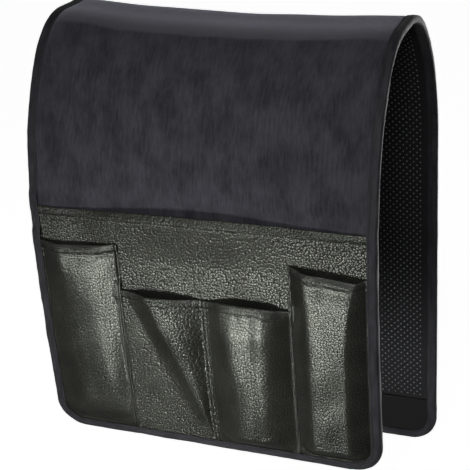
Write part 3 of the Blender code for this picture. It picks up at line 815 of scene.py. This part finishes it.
def centre_n(s, x):
    """Height of the centre pocket: a slack fold left of the divider, a bulge right of it."""
    above_foot = s - FRONT_END - SEWN_WIDTH
    groove = 0.0004 * line_at(x - (DIVIDER_RIGHT + RIGHT_SEAM) / 2 - 0.003, 0.0045)
    right = (CENTRE_DEPTH * centre_crown(x) - groove) * swell(above_foot, CENTRE_BOTTOM_RAMP)
    bulge = np.where(x < DIVIDER_SEAM, fold_height(s, x), right) * hem_hold(s, CENTRE_MOUTH)
    beside = np.maximum(np.maximum(DIVIDER_LEFT - x, x - DIVIDER_RIGHT), 0)
    puckers = 0.00014 * waves(s, 0 * x, 0.009, 51) + 0.00010 * waves(s, x, 0.005, 54)
    puckers = puckers * np.exp(-beside / 0.003) * ramp(above_foot, 0.01)
    pulled = -0.0004 * line_at(np.abs(x - DIVIDER_SEAM) - DIVIDER_ROW, 0.0007)
    uneven = 0.0002 * waves(s, x, 0.030, 52, 3) + 0.00005 * waves(s, x, 0.012, 53, 3)
    hem = HEM_ROOM * hem_step(s, CENTRE_MOUTH) + hem_tip(s, CENTRE_MOUTH, bulge)
    hem = hem + hem_pull(s, x, CENTRE_MOUTH, 32)
    lift = np.maximum(bulge + ramp(bulge, 0.004) * uneven, 0) + puckers + pulled
    return panel_base(s, x) + LEATHER_THICKNESS + GAP + hem + lift


def centre_at(s, x, lift=0):
    """Where the centre pocket's flat places come to lie."""
    rise = CENTRE_RISE * centre_crown(x) + FOLD_RISE * fold_height(s, x) / FOLD_DEPTH
    return drape(mouth_place(s, x, CENTRE_MOUTH, rise, 42), x, centre_n(s, x) + lift)


centre_rows = leather_rows(CENTRE_MOUTH, 0.0016)
tuck = (TUCK_WIDTH + GAP) * ramp(centre_rows - FRONT_END - BINDING_WIDTH - HEM_RAMP, HEM_RAMP) - GAP
foot_x, ridge_x = (DIVIDER_LEFT - distance for distance in fold_lines(centre_rows))
borders = [border + 0 * centre_rows for border in (
    LEFT_SEAM - tuck, LEFT_SEAM + SEAM_MARGIN, foot_x, ridge_x,
    DIVIDER_LEFT, DIVIDER_RIGHT, RIGHT_SEAM - SEAM_MARGIN, RIGHT_SEAM + tuck,
)]
centre_x = np.concatenate([
    left + (right - left) * np.arange(parts) / parts
    for left, right, parts in zip(borders, borders[1:], (4, 10, 30, 30, 15, 60, 4))
] + [borders[-1]], axis=1)
centre_pocket = leather_piece(
    "centre_pocket_leather", centre_at, centre_rows, centre_x, CENTRE_MOUTH,
    # Painted shade along the divider's two rows of stitches.
    lambda s, x: {"pressed_and_painted_shade": line_at(np.abs(x - DIVIDER_SEAM) - DIVIDER_ROW, 0.0008)},
    slack_until=DIVIDER_RIGHT,
)
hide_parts("centre_pocket")

# ----------------------------------------
# The two side pockets. Each is a taller piece of leather, bulged out between the binding and a seam
# where its edge is turned under and sewn down over the centre pocket's edge.
SIDE_POCKET_HEIGHT = 0.210
SIDE_MOUTH = FRONT_END + SIDE_POCKET_HEIGHT
SIDE_WIDTH = 0.077
SIDE_BOTTOM_RAMP = 0.020
SIDE_SAG = 0.0015
# Each bulges by depth, less at its mouth. Its walls are inner and outer wide, on the seam's and on the
# binding's side. Its mouth is lifted at the seam and drops towards the binding.
SIDES = {
    "left": {
        "seam": LEFT_SEAM, "depth": 0.0078, "mouth": 0.0065, "inner": 0.032, "outer": 0.036,
        "lift": 0.0023, "drop": 0.0030, "seed": 60,
    },
    "right": {
        "seam": RIGHT_SEAM, "depth": 0.0150, "mouth": 0.0110, "inner": 0.020, "outer": 0.019,
        "lift": 0.0010, "drop": 0.0055, "seed": 70,
    },
}


def side_crown(s, x, side):
    """1 along the ridge of a side pocket, 0 at its seam and along the binding."""
    from_seam = np.abs(x - side["seam"]) - FLANGE_WIDTH
    outer = side["outer"] * (1 - 0.55 * up_share(s, SIDE_POCKET_HEIGHT) ** 4)
    return swell(from_seam, side["inner"]) * swell(rim_distance(s, x) - SEWN_WIDTH, outer)


def side_n(s, x, side):
    """Height of a side pocket's middle surface, pushed out between its seams."""
    up = up_share(s, SIDE_POCKET_HEIGHT)
    depth = side["depth"] + (side["mouth"] - side["depth"]) * up
    crown = side_crown(s, x, side)
    seed = side["seed"]
    bulge = depth * crown * swell(s - FRONT_END - SEWN_WIDTH, SIDE_BOTTOM_RAMP) * hem_hold(s, SIDE_MOUTH)
    uneven = 0.0004 * waves(s, x, 0.034, seed, 5) + 0.00006 * waves(s, x, 0.014, seed + 1, 3)
    bulge = bulge + ramp(bulge, 0.006) * uneven
    from_seam = np.abs(x - side["seam"])
    over_edge = ramp(s - FRONT_END - BINDING_WIDTH, HEM_RAMP)
    over_edge = over_edge * (1 - ramp(from_seam - FLANGE_WIDTH, side["inner"]))
    lift = np.maximum(bulge, leather_height(s, CENTRE_MOUTH) * over_edge)
    lift = lift - 0.0008 * (1 - barrel(from_seam, 0.0010))
    lift = lift - 0.0005 * line_at(from_seam - FLANGE_WIDTH, 0.0007)
    hem = HEM_ROOM * hem_step(s, SIDE_MOUTH) + hem_tip(s, SIDE_MOUTH, bulge)
    hem = hem + hem_pull(s, x, SIDE_MOUTH, seed + 2)
    return panel_base(s, x) + LEATHER_THICKNESS + GAP + hem + lift


def side_at(side):
    """The function that says where a side pocket's flat places come to lie."""
    def at(s, x, lift=0):
        across = np.abs(x - side["seam"]) / (MAT_WIDTH / 2 - abs(side["seam"]))
        rise = side["lift"] * (1 - across) - side["drop"] * across
        rise = rise - SIDE_SAG * side_crown(SIDE_MOUTH, x, side)
        place = mouth_place(s, x, SIDE_MOUTH, rise, side["seed"] + 3)
        return drape(place, x, side_n(s, x, side) + lift)
    return at


side_rows = leather_rows(SIDE_MOUTH, 0.0018)
near_seam = np.array([0, 0.0002, 0.0005, 0.0009, 0.0014, 0.0020, 0.0026, 0.0032, 0.0040])
shares = np.concatenate([near_seam / SIDE_WIDTH, np.linspace(0.066, 1, 62)])
for name, side in SIDES.items():
    edge = math.copysign(1, side["seam"]) * half_width(side_rows, EDGE_INSET)
    side_x = side["seam"] + (edge - side["seam"]) * shares
    if side["seam"] < 0:
        side_x = side_x[:, ::-1]
    pocket = leather_piece(
        name + "_side_pocket_leather", side_at(side), side_rows, side_x, SIDE_MOUTH,
        lambda s, x: {
            # Painted highlight along the turned edge at the seam, and painted shade along the seam's
            # stitches.
            "edge_highlight": line_at(np.abs(x - side["seam"]) - 0.0003, 0.0007),
            "pressed_and_painted_shade": line_at(np.abs(x - side["seam"]) - FLANGE_WIDTH, 0.0008),
        },
    )
    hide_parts(name + "_side_pocket")

# ----------------------------------------
# The edge binding. One strip of black twill tape is folded over the edges of all the layers, right
# round the mat, and sewn through close to its inner edge.
TAPE_THICKNESS = 0.0008
TAPE_WIDTH = 0.0248
TAPE_STEP = 0.0028
NOSE_RADIUS = 0.0017
TAPE_DARK = (0.0065, 0.0065, 0.0082, 1)
TAPE_GREY = (0.0170, 0.0170, 0.0205, 1)


def outline(step):
    """Places round the mat's outline: s, x, the direction inwards, and the distance gone round."""
    side_x = MAT_WIDTH / 2 - CORNER_RADIUS
    low, high = FRONT_END + CORNER_RADIUS, REAR_END - CORNER_RADIUS
    centres = [(low, side_x), (high, side_x), (high, -side_x), (low, -side_x)]
    found = []
    for quarter, centre in enumerate(centres):
        angle = math.pi - quarter * math.pi / 2 - np.linspace(0, math.pi / 2, 16)
        outwards = np.stack([np.cos(angle), np.sin(angle)], axis=1)
        span = np.subtract(centres[(quarter + 1) % 4], centre)
        share = np.linspace(0, 1, round(np.abs(span).sum() / step))[1:-1, None]
        straight = centre + CORNER_RADIUS * outwards[-1] + share * span
        found.append(np.hstack([centre + CORNER_RADIUS * outwards, -outwards]))
        found.append(np.hstack([straight, 0 * share - outwards[-1]]))
    line = np.concatenate(found)
    gone = np.concatenate([[0], np.cumsum(np.hypot(*np.diff(line[:, :2], axis=0).T))])
    return (*line.T[:, :, None], gone[:, None])


def binding_levels(s):
    """Heights of the tape's two leaves, outside over the leather and inside under the lining."""
    leather = leather_height(s, WIDE_MOUTH) + leather_height(s, SIDE_MOUTH)
    lap = ramp(s - (BAND_TOP - 2 * LAP_RAMP), LAP_RAMP) * band_seat(s)
    return MAT_TOP + GAP + TAPE_THICKNESS / 2 + leather, lap - GAP - TAPE_THICKNESS / 2


tape = Finish("binding_twill", Specular_IOR_Level=0.2, Sheen_Weight=0.06, Sheen_Roughness=0.4)
tape_tone = tape.noise(tape.flat(1 / 0.006, 1 / 0.02), 1, 4, 0.6)
tape.show(
    tape.mix(tape_tone.between(0.3, 0.7), TAPE_DARK, TAPE_GREY), 0.70 + 0.1 * tape_tone,
    tape.ribs(360, 0.8), 0.0002, 0.7,
)
s, x, in_s, in_x, gone = outline(TAPE_STEP)
top, bottom = binding_levels(s)
leaf = np.array([BINDING_WIDTH, 0.0085, 0.0078, 0.0072, 0.0066, 0.0058, 0.0048, 0.0036, 0.0028])
leaf_rise = np.array([-0.00025, 0, -0.0001, -0.00028, -0.0001, 0.0001, 0.0002, 0.00015, 0.00005])
nose = np.linspace(math.pi / 2, -math.pi / 2, 9)
inward = np.concatenate([leaf, TAPE_THICKNESS / 2 + NOSE_RADIUS * (1 - np.cos(nose)), leaf[::-1]])
share = np.concatenate([1 + 0 * leaf, np.sin(nose), -1 + 0 * leaf])
rise = np.concatenate([leaf_rise, 0 * nose, -leaf_rise[::-1]])
wander = 0.0003 * waves(gone, 0 * gone, 0.05, 81) + 0.00012 * waves(gone, 0 * gone, 0.013, 82)
inward = inward + wander * ramp(np.abs(share), 1)
puckers = 0.00010 * waves(gone, 0 * inward, 0.007, 83)
puckers = puckers * (np.abs(share) >= 1) * ramp(0.0085 - inward, 0.002)
n = (top + bottom) / 2 + (top - bottom) / 2 * share + rise + np.sign(share) * puckers
round_again = np.concatenate([gone, gone[-1:] + TAPE_STEP])
across_tape = np.linspace(-TAPE_WIDTH / 2, TAPE_WIDTH / 2, inward.shape[1])[None]
binding = sewn_piece(
    "edge_binding_tape", drape(s + in_s * inward, x + in_x * inward, n),
    round_again, across_tape, TAPE_THICKNESS, tape, joined=True,
)
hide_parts("edge_binding")

# ----------------------------------------
# The stitches. Every seam is a lockstitch in dark polyester thread: round the binding on both faces,
# along each hem, down the pocket seams, twice down the divider, and along the rear band.
STITCH_LENGTH = 0.0023
STITCH_PITCH = 0.0038
STITCH_RADIUS = 0.00036
STITCH_LIFT = 0.001
END_MARGIN = 0.001
BINDING_SEAM = 0.0073
BAND_SEAM = 0.0022
HEM_SEAM = 0.0012
THREAD_DARK = (0.0020, 0.0020, 0.0022, 1)
THREAD_LIGHT = (0.0080, 0.0080, 0.0090, 1)


def one_stitch():
    """One stitch: a length of thread that dips into the cloth at both ends."""
    bpy.ops.object.select_all(action="DESELECT")
    bpy.ops.mesh.primitive_uv_sphere_add(segments=6, ring_count=6, radius=1, rotation=(0, math.pi / 2, 0))
    bpy.ops.object.transform_apply(location=True, rotation=True, scale=True)
    bpy.ops.object.mode_set(mode="EDIT")
    bpy.ops.mesh.select_all(action="SELECT")
    bpy.ops.transform.resize(value=(STITCH_LENGTH / 2, STITCH_RADIUS, STITCH_RADIUS))
    bpy.ops.object.mode_set(mode="OBJECT")
    for vertex in bpy.context.object.data.vertices:
        vertex.co.z -= 1.2 * STITCH_RADIUS * (2 * vertex.co.x / STITCH_LENGTH) ** 2
    return bpy.context.object


def sew(name, lines, finish):
    """Stitches along lines that are given twice: on the surface, and lifted off it."""
    places = []
    axes = []
    for line, lifted in lines:
        gone = np.concatenate([[0], np.cumsum(np.linalg.norm(np.diff(line, axis=0), axis=1))])
        middle = np.arange(STITCH_PITCH / 2, gone[-1], STITCH_PITCH)
        here, ahead, above = (
            np.stack([np.interp(middle + step, gone, column) for column in path.T], axis=1)
            for path, step in ((line, 0), (line, STITCH_LENGTH / 4), (lifted, 0))
        )
        forward = (ahead - here) / np.linalg.norm(ahead - here, axis=1, keepdims=True)
        up = above - here
        up -= forward * (up * forward).sum(axis=1, keepdims=True)
        up /= np.linalg.norm(up, axis=1, keepdims=True)
        places.append(here)
        axes.append(np.stack([forward, np.cross(up, forward), up], axis=1))
    return set_out(name, stitch, np.concatenate(places), np.concatenate(axes), finish)


def line_on(at, s, x):
    """A line on a pocket's surface, and the same line lifted off it."""
    s, x = np.broadcast_arrays(s, x)
    return [at(s, x, LEATHER_THICKNESS / 2 + lift) for lift in (0, STITCH_LIFT)]


def hem_line(at, mouth, left, right, points):
    """The line of the stitches along a pocket's hem."""
    return line_on(at, mouth - HEM_HEIGHT + HEM_SEAM, np.linspace(left, right, points))


thread = Finish("dark_thread", Specular_IOR_Level=0.2)
thread_place = thread.node("TexCoord", output="Object")
twist = thread.node("TexNoise", {}, {"Vector": thread_place, "Scale": 2600})
thread.show(thread.mix(twist, THREAD_DARK, THREAD_LIGHT), 0.50 + 0.2 * twist, twist, 0.0002)
stitch = one_stitch()
binding_lines = []
seam_in = BINDING_SEAM + wander
closed = np.concatenate([np.arange(len(s)), [0]])
for face, level in ((1, top), (-1, bottom)):
    seam_n = level + face * (TAPE_THICKNESS / 2 - 0.00022)
    binding_lines.append([
        drape(s + in_s * seam_in, x + in_x * seam_in, seam_n + face * lift)[closed, 0]
        for lift in (0, STITCH_LIFT)
    ])
binding_stitches = sew("binding_stitches", binding_lines, thread)
foot = FRONT_END + BINDING_WIDTH + END_MARGIN
free = MAT_WIDTH / 2 - BINDING_WIDTH - END_MARGIN
leather_lines = [
    hem_line(wide_at, WIDE_MOUTH, -free, free, 300),
    hem_line(centre_at, CENTRE_MOUTH, LEFT_SEAM + END_MARGIN, RIGHT_SEAM - END_MARGIN, 300),
]
for side in SIDES.values():
    at = side_at(side)
    way = math.copysign(1, side["seam"])
    seam_s = np.linspace(foot, SIDE_MOUTH - END_MARGIN, 200)
    leather_lines.append(hem_line(at, SIDE_MOUTH, side["seam"] + way * END_MARGIN, way * free, 200))
    leather_lines.append(line_on(at, seam_s, side["seam"] + way * FLANGE_WIDTH))
row_s = np.linspace(foot, CENTRE_MOUTH - END_MARGIN / 2, 400)
for row in (-DIVIDER_ROW, DIVIDER_ROW):
    leather_lines.append(line_on(centre_at, row_s, DIVIDER_SEAM + row))
pocket_stitches = sew("pocket_stitches", leather_lines, thread)
band_x = np.linspace(-free, free, 300)
under_band = -(BAND_THICKNESS + GAP) - 0.0002
band_line = [drape(BAND_TOP + BAND_SEAM, band_x, under_band - lift) for lift in (0, STITCH_LIFT)]
band_stitches = sew("band_stitches", [band_line], thread)
bpy.data.objects.remove(stitch)

# ----------------------------------------
# The floor and the light. A pale floor lies well below the mat, and the camera sees it and the room
# as white. A soft lamp hangs in front of the mat and one stands behind it. A tall strip and a low lamp
# stand where the leather mirrors them to the camera. The room adds an even, weaker light.
FLOOR_LEVEL = -1.50
FLOOR_SIZE = 40
FLOOR_WHITE = (0.92, 0.92, 0.92, 1)
FLOOR_GLOW = (0.86, 0.86, 0.86, 1)
BLACK = (0, 0, 0, 1)
ROOM_LIGHT = 0.125

bpy.ops.object.select_all(action="DESELECT")
bpy.ops.mesh.primitive_plane_add(size=FLOOR_SIZE, location=(0, 0, FLOOR_LEVEL))
floor = bpy.context.object
floor.name = "floor"
paint = Finish(
    "floor_paint", Base_Color=FLOOR_WHITE, Roughness=0.9, Specular_IOR_Level=0.0, Emission_Strength=1,
)
seen = paint.node("LightPath", output="Is Camera Ray")
paint.set(paint.surface, "Emission Color", paint.mix(seen, BLACK, FLOOR_GLOW))
floor.data.materials.append(paint.material)
room = bpy.data.worlds.new("white_room")
bpy.context.scene.world = room
room.use_nodes = True
nodes, links = room.node_tree.nodes, room.node_tree.links
backdrop = nodes["Background"]
backdrop.inputs["Color"].default_value = (1, 1, 1, 1)
strength = nodes.new("ShaderNodeMapRange")
strength.inputs["To Min"].default_value = ROOM_LIGHT
links.new(nodes.new("ShaderNodeLightPath").outputs["Is Camera Ray"], strength.inputs["Value"])
links.new(strength.outputs["Result"], backdrop.inputs["Strength"])


def soft_light(name, place, aim, width, height, power, spread=180):
    """A large soft lamp that faces a point. A grid in front of it keeps its light inside the spread."""
    lamp = bpy.data.lights.new(name, "AREA")
    lamp.shape = "RECTANGLE"
    lamp.size = width
    lamp.size_y = height
    lamp.energy = power
    lamp.spread = math.radians(spread)
    stand = bpy.data.objects.new(name, lamp)
    bpy.context.scene.collection.objects.link(stand)
    stand.location = place
    stand.rotation_euler = (Vector(aim) - Vector(place)).to_track_quat("-Z", "Y").to_euler()
    stand.visible_camera = False


soft_light("front_light", (0.30, -1.15, 0.52), (0, -0.11, -0.08), 0.5, 0.5, 1.72, 60)
soft_light("low_light", (-0.10, -1.04, -0.72), (0, -0.11, -0.42), 0.10, 0.60, 0.80, 35)
soft_light("rear_light", (0.60, 1.60, -0.70), (0, 0.11, -0.28), 0.8, 0.8, 3.0, 45)
soft_light("left_light", (-0.42, -1.04, -0.45), (0, -0.11, -0.26), 0.36, 0.12, 0.26, 35)
